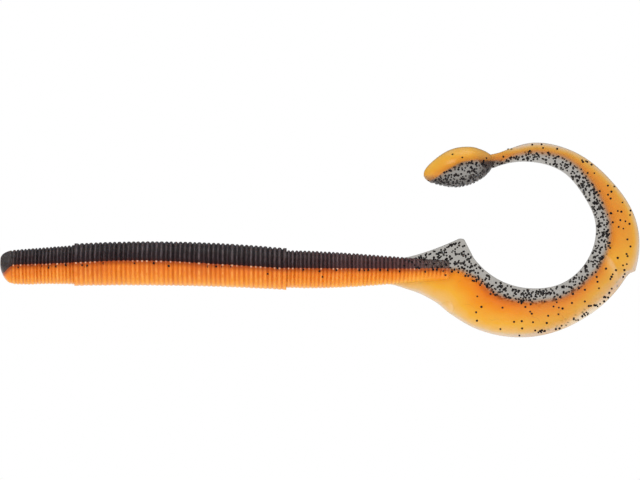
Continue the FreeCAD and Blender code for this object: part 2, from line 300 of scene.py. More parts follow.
def mesh_piece(name, points, faces, rest, material, slot_name):
    """A piece whose material knows where its points are at rest."""
    mesh = bpy.data.meshes.new(name)
    mesh.from_pydata([tuple(p) for p in points], [], faces)
    attribute = mesh.attributes.new("rest", "FLOAT_VECTOR", "POINT")
    attribute.data.foreach_set("vector", np.array(rest, np.float32).ravel())
    mesh.materials.append(material)
    piece = bpy.data.objects.new(name, mesh)
    bpy.context.collection.objects.link(piece)
    return piece


def grid_piece(name, rows, values, material, slot_name):
    """A strip of skin from rows of points, with one value per point for each named attribute."""
    n, m = rows.shape[:2]
    starts = [i * m + k for i in range(n - 1) for k in range(m - 1)]
    faces = [(a, a + 1, a + m + 1, a + m) for a in starts]
    across, onward = rows[:-1, 1:] - rows[:-1, :-1], rows[1:, :-1] - rows[:-1, :-1]
    outward = rows[:-1, :-1] - rows[:-1].mean(axis=1, keepdims=True)
    if (np.cross(across, onward) * outward).sum() < 0:
        faces = [face[::-1] for face in faces]
    points = rows.reshape(-1, 3)
    piece = mesh_piece(name, points, faces, points, material, slot_name)
    for key in ATTRIBUTES:
        attribute = piece.data.attributes.new(key, "FLOAT", "POINT")
        value = np.broadcast_to(values.get(key, 0.0), (n, m)).astype(np.float32)
        attribute.data.foreach_set("value", value.ravel())
    piece.data.polygons.foreach_set("use_smooth", [True] * len(faces))
    piece.data.update()
    return piece


def along_of(joint):
    """Direction towards the tip at a hinge."""
    if joint in BODY_CHAIN:
        return np.array([1.0, 0, 0])
    if joint is BULB_JOINT:
        return np.cross(SIDE, joint["axis"])
    out = np.array(joint["pos_m"]) - CENTRE
    out /= np.linalg.norm(out)
    return np.cross(out, SIDE)


def measure_bend(joint, end_rows, most):
    """Sets the half span about a hinge, short of the end rows of its piece."""
    at, along = np.array(joint["pos_m"]), along_of(joint)
    gaps = [abs((np.asarray(row) - at) @ along).min() for row in end_rows]
    BEND_HALF[joint["name"]] = 0.97 * min(gaps + [most])


def bend(piece, joint):
    """Bakes the piece's placement into its mesh; the span about the hinge's pivot is worked out but not
    applied.
    """
    at, reach = np.array(joint["pos_m"], float), along_of(joint) * BEND_HALF[joint["name"]]
    tuple(at - reach)
    tuple(at + reach)
    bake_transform(piece)


# ---- Materials

# Values on the skin: edge is mm below the line between the layers; clear, how see-through the smoke is; pale,
# how washed out the orange is, partly painted light; thin, how see-through the orange is; the painted groove
# shade,
# 1 in the grooves between ribs; crest, up to 1 on the ribs, where highlights are painted; brown, how much
# orange glows through the smoke; the painted shade, how dark it makes the plastic; fold, 1 on a crease, where
# a highlight is painted.
ATTRIBUTES = ("edge", "clear", "pale", "thin", "stripe", "crest", "brown", "dusk", "fold")


class Value:
    """The output of a node, which adds and multiplies with numbers and other outputs."""

    def __init__(self, socket):
        self.socket, self.tree = socket, socket.id_data

    def __add__(self, other):
        return calculate("ADD", self, other)

    def __mul__(self, other):
        return calculate("MULTIPLY", self, other)


def add_node(tree, kind, inputs=None, output=0, **settings):
    """One output of a new node, whose inputs are given by name or number."""
    node = tree.nodes.new("ShaderNode" + kind)
    for key, value in settings.items():
        setattr(node, key, value)
    for key, value in (inputs or {}).items():
        socket = node.inputs[key]
        if isinstance(value, Value):
            tree.links.new(value.socket, socket)
        elif isinstance(value, tuple):
            socket.default_value = value + (1.0,) * (len(socket.default_value) - len(value))
        else:
            socket.default_value = value
    return Value(node.outputs[output]) if node.outputs else None


def calculate(operation, *values, clamp=False):
    tree = next(value.tree for value in values if isinstance(value, Value))
    return add_node(tree, "Math", dict(enumerate(values)), operation=operation, use_clamp=clamp)


def rest_of(value):
    """What is missing to one."""
    return calculate("SUBTRACT", 1.0, value, clamp=True)


def ramp(value, low, high):
    """0 below low, 1 above high, smooth between."""
    inputs = {"Value": value, "From Min": low, "From Max": high}
    return add_node(value.tree, "MapRange", inputs, interpolation_type="SMOOTHSTEP")


def swing(value, amount):
    """A noise value as a swing about zero."""
    return calculate("SUBTRACT", value, 0.5) * (2.0 * amount)


def mix_colour(factor, a, b):
    return add_node(factor.tree, "Mix", {0: factor, 6: a, 7: b}, output=2, data_type="RGBA")


def mix_value(factor, a, b):
    return add_node(factor.tree, "Mix", {0: factor, 2: a, 3: b})


def mix_shader(factor, a, b):
    return add_node(factor.tree, "MixShader", {0: factor, 1: a, 2: b})


def colour_ramp(value, stops):
    colour = add_node(value.tree, "ValToRGB", {"Fac": value})
    elements = colour.socket.node.color_ramp.elements
    while len(elements) < len(stops):
        elements.new(0.5)
    for element, (place, tone) in zip(elements, stops):
        element.position, element.color = place, tone + (1.0,)
    return colour


def noise(vector, scale, detail=3.0):
    return add_node(vector.tree, "TexNoise", {"Scale": scale, "Detail": detail, "Vector": vector})


def skin_value(tree, name, output="Fac"):
    return add_node(tree, "Attribute", output=output, attribute_name=name)


def empty_tree(owner):
    """The node tree of a material or a world, without any node."""
    owner.use_nodes = True
    owner.node_tree.nodes.clear()
    return owner.node_tree


# The smoke's colour on top is painted light from above; its low colour is painted shade, and also redder.
SMOKE_PAINTED_LIGHT_TOP, SMOKE_PAINTED_SHADE_LOW, SMOKE_SEAM = (0.040, 0.032, 0.033), (0.027, 0.0115, 0.0135), (0.052, 0.0075, 0.004)
SMOKE_BROWN, SMOKE_THIN, SMOKE_TINT = (0.125, 0.045, 0.042), (0.13, 0.12, 0.108), (0.80, 0.785, 0.76)
# Painted highlight on the smoke's rib crests, painted shade in its grooves and where it lies in shade.
SMOKE_CREST_HIGHLIGHT, SMOKE_GROOVE_SHADE, SMOKE_PAINTED_SHADE = (0.135, 0.103, 0.110), (0.007, 0.003, 0.004), (0.035, 0.025, 0.022)
SMOKE_FLECK = (0.16, 0.13, 0.12)
ORANGE_STOPS = ((0.0, (0.67, 0.135, 0.001)), (0.16, (0.82, 0.21, 0.004)), (0.36, (0.89, 0.30, 0.006)),
                (0.60, (0.90, 0.45, 0.035)), (0.85, (0.86, 0.58, 0.24)), (1.0, (0.79, 0.68, 0.54)))
# Painted highlight on the orange rib crests, whose colour also gives the fine light specks, and painted shade
# in the grooves.
SEAM_RED, ORANGE_HIGHLIGHT_AND_SPECK, RIB_SHADE = (0.30, 0.035, 0.003), (1.0, 0.47, 0.10), (0.55, 0.09, 0.002)
# The glint colour is a painted highlight, and so is the crease colour beside it.
GLINT, FOLD_HIGHLIGHT, WRINKLE = (0.92, 0.58, 0.38), (0.97, 0.66, 0.34), (0.36, 0.15, 0.03)
ORANGE_TINT, PALE_TINT = (0.95, 0.55, 0.16), (0.96, 0.90, 0.80)
# Painted shade on edges seen at a grazing angle, and painted shade on the orange.
PAINTED_EDGE_SHADE, ORANGE_PAINTED_SHADE = (0.24, 0.20, 0.17), (0.28, 0.19, 0.12)
FLAKE_BLACK, FLAKE_GREY = (0.002, 0.001, 0.002), (0.016, 0.009, 0.010)


def smoke_colour(edge, clear, brown, stripe, crest, streak):
    """Smoke: grey on top with painted light from above, darker with painted shade lower down and redder
    towards the seam, with painted highlights on the crests and painted shade in the black grooves.
    """
    # painted light on the top of the smoke, painted shade lower down
    tone = mix_colour(ramp(edge, -3.6, -1.2), SMOKE_PAINTED_LIGHT_TOP, SMOKE_PAINTED_SHADE_LOW)
    tone = mix_colour(ramp(edge, -1.0, -0.05), tone, SMOKE_SEAM)
    tone = mix_colour(brown, tone, SMOKE_BROWN)
    # a painted highlight on the rib crests, stronger in streaks
    light = crest * (streak * 0.7 + 0.3)
    tone = mix_colour(light * ramp(edge, 0.2, -2.0) * 0.85, tone, SMOKE_CREST_HIGHLIGHT)
    # painted shade in the grooves
    tone = mix_colour(stripe * 0.8, tone, SMOKE_GROOVE_SHADE)
    return mix_colour(clear, tone, SMOKE_THIN)


def orange_colour(edge, clear, pale, stripe, crest, streak, fold, rest):
    """Orange: deep at the seam, golden and then whitish where it is thin, with painted light shining through
    it, painted highlights on the rib crests, painted shade in the grooves, painted glints below the seam, a
    painted highlight on the creases, and a few fine wrinkles.
    """
    tone = colour_ramp(pale, ORANGE_STOPS)
    seam = rest_of(ramp(edge, 0.0, 1.5)) * rest_of(clear)
    tone = mix_colour(seam * 0.85, tone, SEAM_RED)
    # a painted highlight on the belly's rib crests
    tone = mix_colour(crest * streak * ramp(edge, 0.3, 2.2) * 0.6, tone, ORANGE_HIGHLIGHT_AND_SPECK)
    # painted shade in the belly's grooves
    tone = mix_colour(stripe * 0.38, tone, RIB_SHADE)
    # painted glints: small highlights on the rib crests just below the seam
    near = ramp(edge, -0.15, 0.02) * rest_of(ramp(edge, 0.16, 0.5))
    tone = mix_colour(ramp(crest, 0.08, 0.9) * near * 0.8, tone, GLINT)
    # a painted highlight along the creases
    tone = mix_colour(fold * 0.55, tone, FOLD_HIGHLIGHT)
    vein = calculate("ABSOLUTE", swing(noise(rest, 150.0, 1.0), 0.5))
    vein = rest_of(ramp(vein, 0.0, 0.007)) * clear * ramp(noise(rest, 210.0, 0.0), 0.56, 0.66)
    return mix_colour(vein * 0.3, tone, WRINKLE)


def soft_plastic(name):
    """Both layers in one wet, see-through plastic: the distance to the layer line tells which one shows."""
    material = bpy.data.materials.new(name)
    tree = empty_tree(material)
    edge, clear, pale, thin, stripe, crest, brown, dusk, fold = (skin_value(tree, key) for key in ATTRIBUTES)
    rest = skin_value(tree, "rest", "Vector")
    cloud, mottle, fine = noise(rest, 95.0, 2.0), noise(rest, 300.0), noise(rest, 2200.0, 2.0)
    streak = ramp(noise(rest, 650.0, 2.0), 0.3, 0.65)

    # The layers meet sharply where the plastic is solid, and in a clouded band where it is see-through.
    wandering = edge + (swing(mottle, 0.12) + swing(cloud, 0.8) * clear)
    belly = mix_value(clear, ramp(wandering, -0.12, 0.12), ramp(wandering, -1.5, 1.9))
    pale = pale + (swing(cloud, 0.14) + swing(mottle, 0.05))

    smoke = smoke_colour(edge, clear, brown, stripe, crest, streak)
    orange = orange_colour(edge, clear, pale, stripe, crest, streak, fold, rest)
    base = mix_colour(ramp(belly, 0.0, 0.7), smoke, orange)
    base = mix_colour(ramp(fine, 0.55, 0.8) * 0.06, base, mix_colour(belly, SMOKE_FLECK, ORANGE_HIGHLIGHT_AND_SPECK))
    # painted shade along the edges seen at a grazing angle, on the colour and on the see-through tint
    facing = add_node(tree, "LayerWeight", {"Blend": 0.5}, output="Facing")
    painted_edge_shade = ramp(facing, 0.55, 0.98) * clear * 0.45
    # painted shade, darkening the plastic where it lies in shade
    base = mix_colour(dusk, base, mix_colour(belly, SMOKE_PAINTED_SHADE, ORANGE_PAINTED_SHADE))
    base = mix_colour(painted_edge_shade, base, PAINTED_EDGE_SHADE)

    tint = mix_colour(belly, SMOKE_TINT, mix_colour(thin, ORANGE_TINT, PALE_TINT))
    tint = mix_colour(painted_edge_shade, tint, PAINTED_EDGE_SHADE)
    cover = mix_value(belly, rest_of(clear * 0.78), rest_of(clear * (thin * 0.76 + 0.10)))

    normal = add_node(tree, "Bump", {"Strength": 0.35, "Distance": 0.2 * MM, "Height": mottle + fine * 0.3})
    body = add_node(tree, "BsdfPrincipled", {
        "Base Color": base, "Specular IOR Level": 0.0, "Roughness": 0.6, "Normal": normal,
        "Subsurface Weight": rest_of(clear) * 0.12 + 0.10, "Subsurface Radius": (1.0, 0.45, 0.2),
        "Subsurface Scale": 0.8 * MM})
    inside = mix_shader(cover, add_node(tree, "BsdfTransparent", {"Color": tint}), body)

    rough = mottle * 0.14 + mix_value(clear, 0.27, 0.12)
    gloss = add_node(tree, "BsdfGlossy", {"Roughness": rough, "Normal": normal})
    fresnel = add_node(tree, "Fresnel", {"IOR": 1.45, "Normal": normal})
    outside = rest_of(add_node(tree, "NewGeometry", output="Backfacing"))
    add_node(tree, "OutputMaterial", {"Surface": mix_shader(fresnel * outside, inside, gloss)})
    return material


def flake_material():
    material = bpy.data.materials.new("black_flake")
    tree = empty_tree(material)
    speck = noise(skin_value(tree, "rest", "Vector"), 1500.0)
    shader = add_node(tree, "BsdfPrincipled", {
        "Base Color": mix_colour(speck, FLAKE_BLACK, FLAKE_GREY), "Roughness": speck * 0.3 + 0.35,
        "Specular IOR Level": 0.2})
    add_node(tree, "OutputMaterial", {"Surface": shader})
    return material


SLOTS = {"back": (soft_plastic("smoke_plastic"), "smoke_back"),
         "belly": (soft_plastic("orange_plastic"), "orange_belly"),
         "flake": (flake_material(), "smoke_back")}

# ---- Body skin

COLUMNS = 33
BODY_BEND = 6.4 * MM  # the span about a hinge of the body reaches at most this length to each side
SERRATION = 0.18 * MM
SEAM_LIFT = 0.42 * MM  # the orange shows this far above the seam,
SEAM_ARCH, SEAM_DIP = 0.25 * MM, 0.30 * MM  # more along the front of the collar, and less along its rear
LEAN = 0.55 * MM  # the ribs of the rear belly lean towards the nose
WOBBLE = 0.05 * MM
UNDERSIDE_FADE = 0.6  # the ribs are this much shallower underneath,
TONGUE_FADE = 0.65  # and this much on the back of the tongue


def smooth_hem(depth):
    """How smooth the tongue is where it lies on the flare; depth is 0 at the seam and 1 underneath."""
    return eased_step(depth, 0.35, 0.8)


def ring(s):
    """(back half, belly half) of the ring at a station, each from one end of the layer line to the other."""
    middle, half = (s.top + s.bottom) / 2, (s.top - s.bottom) / 2
    swell = RIB_SWELL * (1 - s.groove) if s.depth else 0.0
    reach = swell - s.groove * s.depth
    seam = s.layer + SERRATION * (0.5 - s.groove)
    limit = math.acos(max(-0.999, min(0.999, (seam - middle) / half)))
    lean = LEAN * eased_step(s.x, 0.62 * ROOT_X, 0.85 * ROOT_X)
    halves = []
    for first, last in ((-limit, limit), (limit, 2 * math.pi - limit)):
        turns = np.linspace(first, last, COLUMNS)
        places = [Vector((s.x / (1.6 * MM), 2 * math.sin(turn), 2 * math.cos(turn))) for turn in turns]
        lump = np.array([lumps.noise(place) for place in places])
        depth = (seam - middle - half * np.cos(turns)) / (seam - s.bottom)
        ribbed = 1 - eased_step(s.x, TONGUE_X - 14 * MM, TONGUE_X - 8 * MM) * smooth_hem(depth)
        tongue_back = eased_step(s.x, TONGUE_X - 13 * MM, TONGUE_X - 7 * MM) * (depth < 0)
        ribbed = ribbed * (1 - TONGUE_FADE * tongue_back)
        ribbed = ribbed * (1 - UNDERSIDE_FADE * eased_step(depth, 0.45, 1.0))
        bulge = reach * ribbed + WOBBLE * lump if s.depth else 0 * turns
        wide, high = s.side + bulge, half + bulge
        z = middle + high * np.cos(turns)
        below = np.clip((seam - z) / (2 * half), 0, 1)
        x = s.x - lean * below ** 1.3 + (WOBBLE * lump if s.depth else 0)
        halves.append(np.stack([x, wide * np.sin(turns), z], axis=1))
    return halves


def body_values(stations, points):
    """Values on the skin of the body, at points in rows, one row to a station."""
    column = {key: np.array([getattr(s, key) for s in stations])[:, None] for key in Station._fields}
    x, z = points[:, :, 0], points[:, :, 2]
    lift = SEAM_LIFT + SEAM_ARCH * bump(column["x"], 0.36 * ROOT_X, 0.16 * ROOT_X)
    lift = lift - SEAM_DIP * bump(column["x"], 0.60 * ROOT_X, 0.16 * ROOT_X)
    line = column["layer"] + lift + SERRATION * (0.5 - column["groove"])
    depth = np.clip((line - z) / (line - column["bottom"]), 0, 1)
    tailward, tip = eased_step(x, 0.58 * ROOT_X, TONGUE_X), eased_step(x, TONGUE_X - 11 * MM, TONGUE_X)
    front = 1 - eased_step(x, 2 * MM, 5 * MM)
    ribbed = (1 - 0.3 * tailward) * (1 - tip * np.where(z > line, 0.8, smooth_hem(depth)))
    # The belly paler towards the bottom and the tail is painted light.
    return {"edge": (line - z) / MM, "stripe": column["stripe"] * ribbed, "crest": column["crest"] * ribbed,
            "brown": 0.9 * tailward, "pale": 0.06 + (0.40 - 0.25 * tip) * depth ** 2 + 0.14 * tailward,
            "clear": (0.6 * tip + 0.16 * front) * (z > line)}


def build_body():
    stations = body_stations()
    xs = np.array([s.x for s in stations])
    pivots = [j["pos_m"][0] for j in BODY_CHAIN]
    middles = [(a + b) / 2 for a, b in zip(pivots, pivots[1:])]
    cuts = [0] + [int(np.argmin(abs(xs - m))) for m in middles] + [len(stations) - 1]
    rings = [ring(s) for s in stations]
    for k, joint in enumerate(BODY_CHAIN):
        first, last = cuts[k], cuts[k + 1]
        measure_bend(joint, rings[first] + rings[last], BODY_BEND)
        for half, layer in enumerate(("back", "belly")):
            points = np.array([rings[i][half] for i in range(first, last + 1)])
            values = body_values(stations[first:last + 1], points)
            piece = grid_piece(f"body_{k + 1}_{layer}", points, values, *SLOTS[layer])
            bend(piece, joint)
            bodies = [joint["child"], joint["parent"]] if k == 0 else [joint["child"]]
            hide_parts(*(f"{body}_{layer}" for body in bodies))
    return stations, cuts


STATIONS, BODY_CUTS = build_body()

# ---- Ribbon: measured cross-lines

POLAR_STEP = 0.5
ROOT_STATIONS = 110
FIN_SAG = 0.15 * MM
KNUCKLES = {"curl": 6.5, "wave": 3.0}  # how far the knuckle of a hinge reaches past its pivot, in degrees


def clear_angle(angle):
    """Whether the CAD ribbon is whole here, and not at the knuckle of a hinge."""
    spans = [(angle_of(j["pos_m"]), KNUCKLES[j["name"].split("_")[0]]) for j in TAIL_CHAIN]
    return all(not at - 1.0 < angle < at + past for at, past in spans)


def polar_lines(first, last):
    """Radii of the outer edge, the layer line and the inner edge at each angle from first to last."""
    reach, far = 0.034, 0.046
    angles, radii = [], []
    for angle in np.arange(first, last, POLAR_STEP):
        if not clear_angle(angle):
            continue
        start = polar(angle, far) + SIDE * OFF_PLANE
        inward = CENTRE - polar(angle, far)
        outer, inner = hits(BELLY, start, inward, reach), hits(BACK, start, inward, reach)
        if len(outer) == 2 and len(inner) == 2 and abs(outer[1] - inner[0]) < 0.05 * MM:
            angles.append(angle)
            radii.append((far - outer[0], far - outer[1], far - inner[1]))
    return np.array(angles), np.array(radii)


def along_curve(points, count):
    """Points evenly spaced along a curve."""
    points = np.array(points)
    gone = np.concatenate([[0], np.cumsum(np.linalg.norm(np.diff(points, axis=0), axis=1))])
    wanted = np.linspace(0, gone[-1], count)
    return np.stack([np.interp(wanted, gone, points[:, k]) for k in range(3)], axis=1)


def fin_edge(foot):
    """Upper edge of the root: inside the tongue, then up the fin, which sags a little, to its point."""
    fin = frame["nodes"]["tail_root_back"]
    apex = max((fin.matrix_world @ v.co for v in fin.data.vertices), key=lambda p: p.z)
    start = ROOT_X + 3.6 * MM
    edge = [np.array([foot, 0, pivot("tail_sweep")[2] + 2.2 * MM])]
    for x in np.arange(start, apex.x, 0.4 * MM):
        sag = FIN_SAG * math.sin(math.pi * ((x - start) / (apex.x - start)) ** 0.7)
        gap = hits(ROOT_BACK, (x, OFF_PLANE, CLEAR), (0, 0, -1), 2 * CLEAR)[0]
        edge.append(np.array([x, 0, CLEAR - gap - sag]))
    return edge, apex


def flare_edge(foot, end_x):
    """Lower edge of the root: it leaves the belly along its underside and swings down to the outer edge."""
    def flare(x):
        return hits(ROOT_BELLY, (x, OFF_PLANE, -CLEAR), (0, 0, 1), 2 * CLEAR)[0] - CLEAR

    start, join, step = ROOT_X - 1.6 * MM, ROOT_X + 4.2 * MM, 0.4 * MM
    leave, meet = body_section(start)[1] + 0.1 * MM, flare(join)
    slope = (flare(join + step) - meet) / step
    edge = [np.array([foot, 0, leave + 1.2 * MM])]
    for share in np.linspace(0, 1, 14):
        start_part, end_part = (1 - share) ** 2 * (1 + 2 * share), share ** 2 * (3 - 2 * share)
        z = leave * start_part + meet * end_part + slope * (join - start) * share ** 2 * (share - 1)
        edge.append(np.array([start + (join - start) * share, 0, z]))
    return edge + [np.array([x, 0, flare(x)]) for x in np.arange(join + step, end_x, step)]


def root_lines(outer_end, inner_end):
    """Cross-lines over the root of the tail, from inside the tongue to the first hinge of the curl."""
    foot, near = ROOT_X - 3.2 * MM, 0.01  # near the centre of the curl, inside its inner edge
    upper, apex = fin_edge(foot)
    for angle in np.arange(angle_of(apex) + 1, angle_of(inner_end), 1.0):
        start = polar(angle, near) + SIDE * OFF_PLANE
        upper.append(polar(angle, near + hits(ROOT_BACK, start, start - CENTRE, 0.02)[0]))
    tops = along_curve(upper + [inner_end], ROOT_STATIONS)
    bottoms = along_curve(flare_edge(foot, outer_end[0]) + [outer_end], ROOT_STATIONS)
    lines = []
    for top, bottom in zip(tops, bottoms):
        out = (bottom - top) / np.linalg.norm(bottom - top)
        found = hits(ROOT_BELLY, bottom + out * MM + SIDE * OFF_PLANE, -out, 0.04)
        layer = bottom - out * (found[-1] - MM) if len(found) > 1 else (top + bottom) / 2
        lines.append((bottom, layer, top))
    return np.array(lines)


def eased(values):
    """Values smoothed along the ribbon."""
    reach = 9
    weights = np.exp(-(np.arange(-reach, reach + 1) / 5.0) ** 2)
    ahead, behind = 2 * values[0] - values[reach:0:-1], 2 * values[-1] - values[-2:-reach - 2:-1]
    return np.convolve(np.concatenate([ahead, values, behind]), weights / weights.sum(), "valid")


def ribbon_lines():
    """Cross-lines (outer edge, layer line, inner edge) from foot to tip, and the number of the root's."""
    first, last = angle_of(TAIL_CHAIN[0]["pos_m"]), angle_of(BULB_JOINT["pos_m"])
    angles, radii = polar_lines(first - 4, last)
    wanted = np.arange(first, last + POLAR_STEP / 2, POLAR_STEP)
    outer, layer, inner = (np.interp(wanted, angles, radii[:, k]) for k in range(3))
    notch = int(np.argmax(np.diff(outer)))  # it stays sharp
    before, after = notch - 2, notch + 4
    outer = np.concatenate([eased(outer[:before]), outer[before:after], eased(outer[after:])])
    rows = zip(wanted, outer, eased(layer), eased(inner))
    curl = np.array([[polar(angle, radius) for radius in radii] for angle, *radii in rows])
    root = root_lines(curl[0, 0], curl[0, 2])
    return np.concatenate([root[:-1], curl, neck_lines(curl[-1])]), len(root) - 1


def neck_lines(last):
    """Cross-lines that lead the end of the ribbon into the bulb, narrower and narrower."""
    along, middle = along_of(BULB_JOINT), (last[0] + last[2]) / 2
    return np.array([middle + (last - middle) * (1 - 0.06 * gone ** 2) + along * gone * MM
                     for gone in np.arange(0.25, 2.6, 0.25)])


LINES, ROOT_COUNT = ribbon_lines()


def line_at(angle):
    """Number of the cross-line of the curl nearest to an angle."""
    return ROOT_COUNT + int(np.argmin(abs(angles_of(LINES[ROOT_COUNT:, 1]) - angle)))


def thickness_table():
    """Half thickness of the ribbon by distance from the curl's centre, measured past three hinges."""
    found = []
    for joint, past in ((TAIL_CHAIN[0], 10), (TAIL_CHAIN[4], 12), (TAIL_CHAIN[6], 12)):
        k = line_at(angle_of(joint["pos_m"]) + past)
        for share in np.linspace(0.03, 0.97, 12):
            spot = LINES[k, 0] * (1 - share) + LINES[k, 2] * share
            gap = first_hit((spot[0], -BESIDE, spot[2]), (0, 1, 0), BESIDE)
            if gap is not None:
                found.append((np.linalg.norm(spot - CENTRE), BESIDE - gap))
    return np.array(sorted(found)).T


REACHES, HALVES = thickness_table()

# ---- Ribbon skin

EDGE_ROUND = 0.5 * MM
EDGE_COLUMNS = np.array((0.0, 0.04, 0.12, 0.25, 0.5)) * MM  # distances from the edge
PLAIN_COLUMNS = 28
TAIL_BEND = 5 * MM  # the span about a hinge of the tail reaches at most this length to each side
FOLD_HEIGHT, FOLD_WIDTH, FOLD_SLOPE = 0.16 * MM, 0.30 * MM, 0.85 * MM  # steep on one side only
# Creases in the ribbon, each through three places (angle in degrees, radius in mm about the curl's centre).
FOLDS = (((341, 17.2), (332, 23.6), (321, 26.4)), ((222.3, 27.9), (225.5, 28.5), (228.6, 29.9)))

# The plastic along the tail, by angle: how washed out the orange is at the layer line, how much more at the
# outer edge, how much more at the very rim, how much shade is painted on it, and how far outside the CAD's
# layer line the colours meet (mm).
TONE_ANGLES = (200, 232, 254, 278, 302, 326, 338, 350, 386, 412, 436, 460, 474, 486)
TONES = {"line": (0.42, -0.03, 0.04, 0.09, 0.11, 0.13, 0.48, 0.30, 0.25, 0.25, 0.26, 0.32, 0.32, 0.32),
         "outer": (0.36, 0.84, 0.76, 0.72, 0.80, 0.80, 0.25, 0.22, 0.20, 0.22, 0.40, 0.45, 0.15, 0.15),
         "rim": (0.15, 0.18, 0.24, 0.42, 0.46, 0.44, 0.36, 0.42, 0.46, 0.40, 0.40, 0.34, 0.10, 0.10),
         "dusk": (0.00, 0.00, 0.02, 0.14, 0.20, 0.22, 0.13, 0.17, 0.24, 0.29, 0.29, 0.28, 0.30, 0.38),
         "shift": (0.00, -0.75, -0.60, 0.00, -0.08, 0.30, 0.25, 0.45, 0.35, 0.70, 0.42, 0.00, -0.80, 0.10)}
LOBE_ANGLE, LOBE_SPREAD = 302, 26  # the outer edge of the lobe is see-through
NECK_ANGLES = 462, 484  # the ribbon turns brown, and gets painted shade, towards the bulb


def fold_curve(places):
    """A crease as points along a smooth curve."""
    a, b, c = (polar(angle, radius * MM) for angle, radius in places)
    control = 2 * b - (a + c) / 2
    shares = np.linspace(0, 1, 30)[:, None]
    return a * (1 - shares) ** 2 + 2 * control * shares * (1 - shares) + c * shares ** 2


FOLD_CURVES = [fold_curve(places) for places in FOLDS]


def fold_of(points):
    """1 on a crease, falling to 0 at its ends and beside it, more gently towards the smaller angles."""
    strongest = np.zeros(points.shape[:-1])
    for curve in FOLD_CURVES:
        gaps = np.linalg.norm(points[..., None, :] - curve, axis=-1)
        nearest = gaps.argmin(axis=-1)
        share = nearest / (len(curve) - 1)
        onward, offset = np.gradient(curve, axis=0)[nearest], points - curve[nearest]
        sloping = np.cross(onward, offset) @ SIDE > 0
        ends = np.clip(3 * share, 0.15, 1) * np.clip(2.5 * (1 - share), 0.0, 1)
        width = np.where(sloping, FOLD_SLOPE, FOLD_WIDTH)
        fall = np.where(sloping, 1.3, 2.0)
        strongest = np.maximum(strongest, ends * np.exp(-(gaps.min(axis=-1) / width) ** fall))
    return strongest


def half_thickness(points, to_edge):
    """Half thickness at points, rounded off towards the edge."""
    reach = np.linalg.norm(points - CENTRE, axis=-1)
    plain = np.interp(reach, REACHES, HALVES) + FOLD_HEIGHT * fold_of(points)
    share = np.clip(to_edge / EDGE_ROUND, 0, 1)
    return plain * np.sqrt(np.clip(1 - (1 - share) ** 2, 0, 1))


def ribbon_row(line, side):
    """One row of a layer's skin: from the layer line on the near side, round the edge, to the far side."""
    edge, layer = line[2 if side == "back" else 0], line[1]
    width = np.linalg.norm(edge - layer)
    near = EDGE_COLUMNS * min(1.0, 0.5 * width / EDGE_COLUMNS[-1])
    to_edge = np.concatenate([near, np.linspace(near[-1], width, PLAIN_COLUMNS + 1)[1:]])
    points = edge + (layer - edge) * (to_edge / max(width, 1e-9))[:, None]
    half = half_thickness(points, to_edge)
    front, rear = points - half[:, None] * SIDE, points + half[:, None] * SIDE
    return np.concatenate([front[::-1], rear[1:]]), np.concatenate([to_edge[::-1], to_edge[1:]]), width


def ribbon_values(points, to_edge, widths, side):
    """Values on the skin of the ribbon."""
    flat = points * (1, 0, 1)
    angles = angles_of(flat)
    tone = {key: np.interp(angles, TONE_ANGLES, row) for key, row in TONES.items()}
    neck = eased_step(angles, *NECK_ANGLES)
    away = (widths - to_edge) / MM
    if side == "back":
        # painted shade towards the bulb
        return {"edge": -away - tone["shift"], "clear": 1 - 0.35 * neck, "pale": tone["line"],
                "brown": 0.5 * neck, "dusk": 0.55 * neck, "fold": fold_of(flat)}
    outward = 1 - to_edge / np.maximum(widths, 1e-6)
    rim = np.exp(-(to_edge / (1.1 * MM)) ** 2)
    lobe = bump(angles, LOBE_ANGLE, LOBE_SPREAD) * np.exp(-(to_edge / (2.4 * MM)) ** 2)
    # The orange paler towards the thin outer edge and the rim is painted light shining through the thin
    # plastic.
    pale = tone["line"] + tone["outer"] * np.clip(outward, 0, 1) ** 0.8 + tone["rim"] * rim
    # painted shade along the tail, by angle
    return {"edge": away - tone["shift"], "clear": 1 - 0.2 * neck, "pale": np.clip(pale, 0, 1),
            "dusk": tone["dusk"], "thin": np.clip(0.9 * lobe + 0.12 * rim, 0, 1), "fold": fold_of(flat)}


def tail_cuts():
    """Numbers of the cross-lines at which the ribbon is divided between its hinges."""
    bent = pivot("tail_sweep")[0] + BEND_HALF["tail_sweep"] + 0.1 * MM
    root_cut = int(np.argmax(LINES[:ROOT_COUNT, :, 0].min(axis=1) > bent))
    angles = [angle_of(j["pos_m"]) for j in TAIL_CHAIN + [BULB_JOINT]]
    return [0, root_cut] + [line_at((a + b) / 2) for a, b in zip(angles, angles[1:])] + [len(LINES) - 1]


TAIL_CUTS = tail_cuts()


def build_ribbon():
    for k, joint in enumerate(RIBBON_CHAIN):
        first, last = TAIL_CUTS[k], TAIL_CUTS[k + 1]
        if joint in TAIL_CHAIN:
            measure_bend(joint, [LINES[first], LINES[last]], TAIL_BEND)
        elif joint is BULB_JOINT:
            measure_bend(joint, [LINES[first]], TAIL_BEND)
        for side in ("back", "belly"):
            built = zip(*(ribbon_row(line, side) for line in LINES[first:last + 1]))
            points, to_edge, widths = (np.array(part) for part in built)
            values = ribbon_values(points, to_edge, widths[:, None], side)
            piece = grid_piece(f"ribbon_{k:02d}_{side}", points, values, *SLOTS[side])
            bend(piece, joint)
            if joint in TAIL_CHAIN:
                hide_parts(f"{joint['child']}_{side}")


build_ribbon()

# ---- Bulb

BULB_TURNS = 41
BULB_FOOT = 2.2 * MM  # before this, the skin closes to a point inside the ribbon
BULB_PITCH, BULB_RIB = 0.93 * MM, 0.24 * MM
BULB_AT, BULB_ALONG, BULB_UP = pivot("bulb_swing"), along_of(BULB_JOINT), -np.array(BULB_JOINT["axis"], float)


